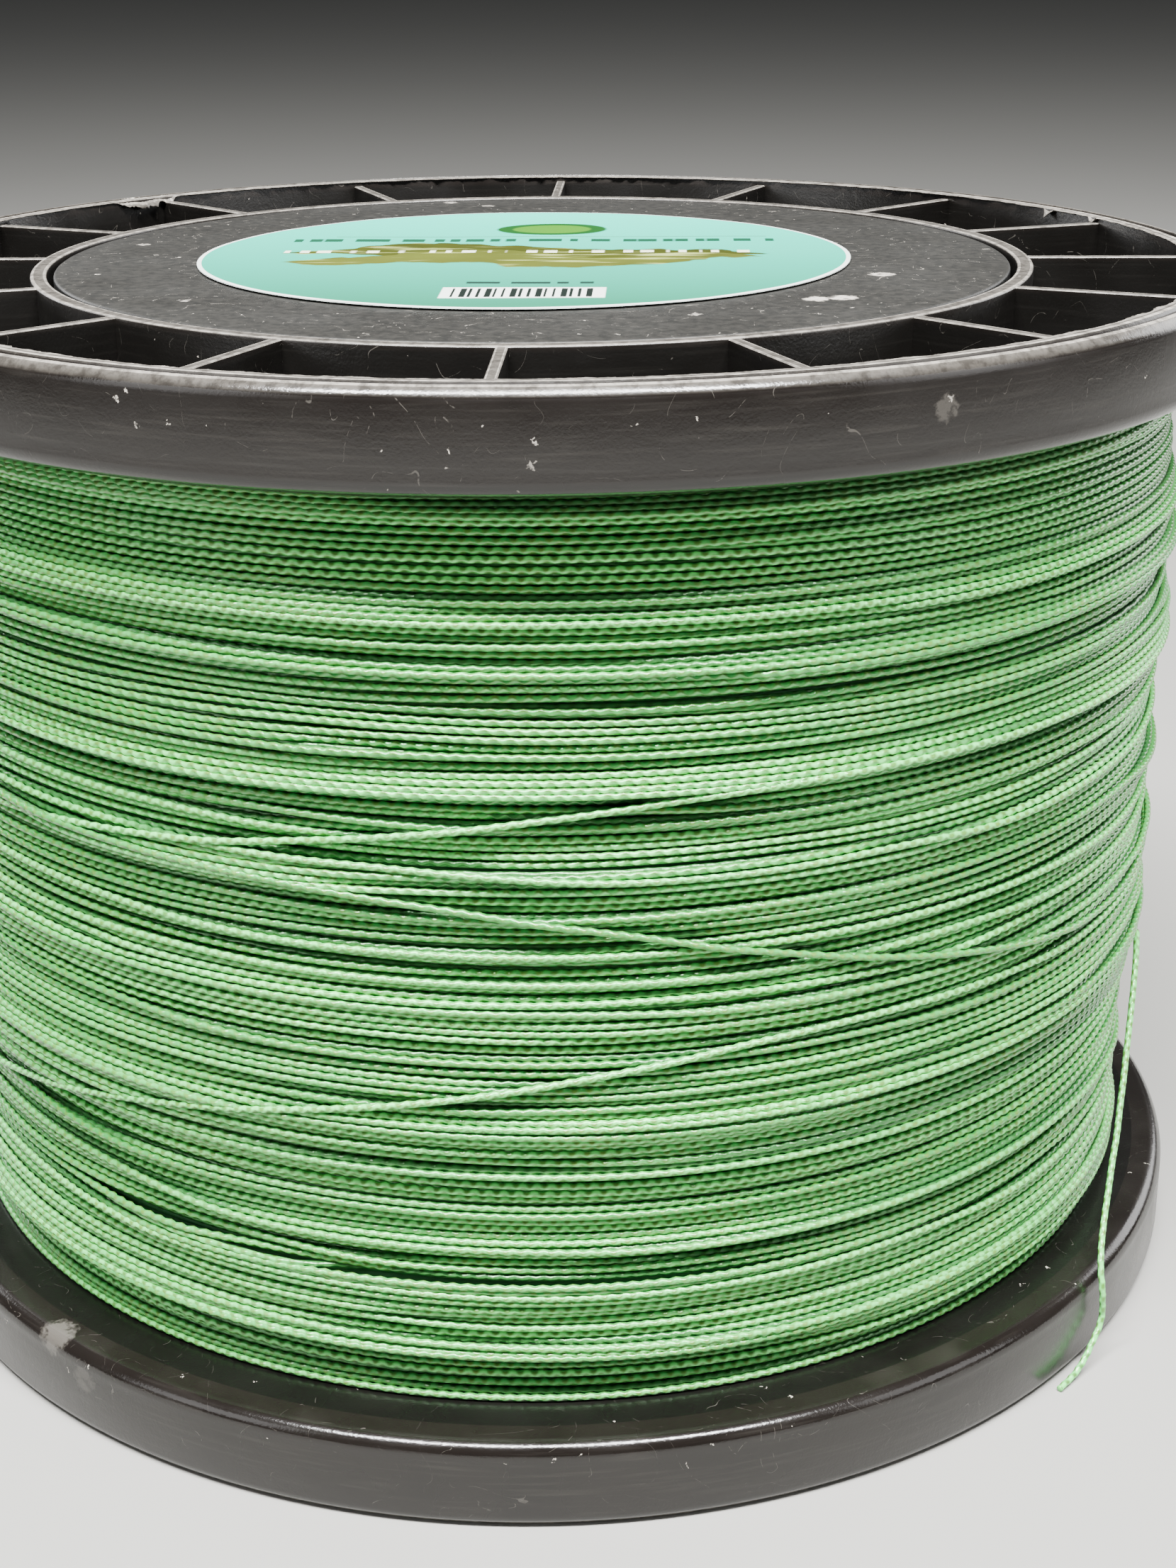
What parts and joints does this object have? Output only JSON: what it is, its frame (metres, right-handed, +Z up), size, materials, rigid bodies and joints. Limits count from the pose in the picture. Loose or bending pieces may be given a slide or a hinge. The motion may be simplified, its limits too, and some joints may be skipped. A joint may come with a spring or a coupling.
{
  "type": "fishing line spool",
  "caption": "Wide flanged spool wound with green braided fishing line, ribbed black flanges, round sticker on the hub disc, loose line end over the lower lip.",
  "frame": {"origin": "centre of the lower flange's resting face", "axes": "+Z up along the spool's axis; a rib of each flange lies along -Y, and the loose line end hangs on the +X -Y side"},
  "size_m": [0.2, 0.2, 0.148],
  "materials": {
    "black_abs": "moulded black ABS, satin",
    "scuffed_abs": "black ABS with a dull, scuffed face",
    "zinc_steel": "zinc-plated steel",
    "clear_tape": "clear packing tape",
    "label_paper": "coated paper sticker, printed aqua",
    "green_braid": "braided green polyethylene line"
  },
  "bodies": {
    "root": {"top_flange": "black_abs", "bottom_flange": "black_abs", "barrel": "black_abs", "arbor_tube": "black_abs", "top_hub_disc": "scuffed_abs", "bottom_hub_disc": "scuffed_abs", "top_screw_1": "zinc_steel", "top_screw_2": "zinc_steel", "top_screw_3": "zinc_steel", "top_screw_4": "zinc_steel", "bottom_screw_1": "zinc_steel", "bottom_screw_2": "zinc_steel", "bottom_screw_3": "zinc_steel", "bottom_screw_4": "zinc_steel", "start_tape": "clear_tape", "top_label": "label_paper", "line_pack": "green_braid", "line_tail": "green_braid"}
  },
  "joints": []
}
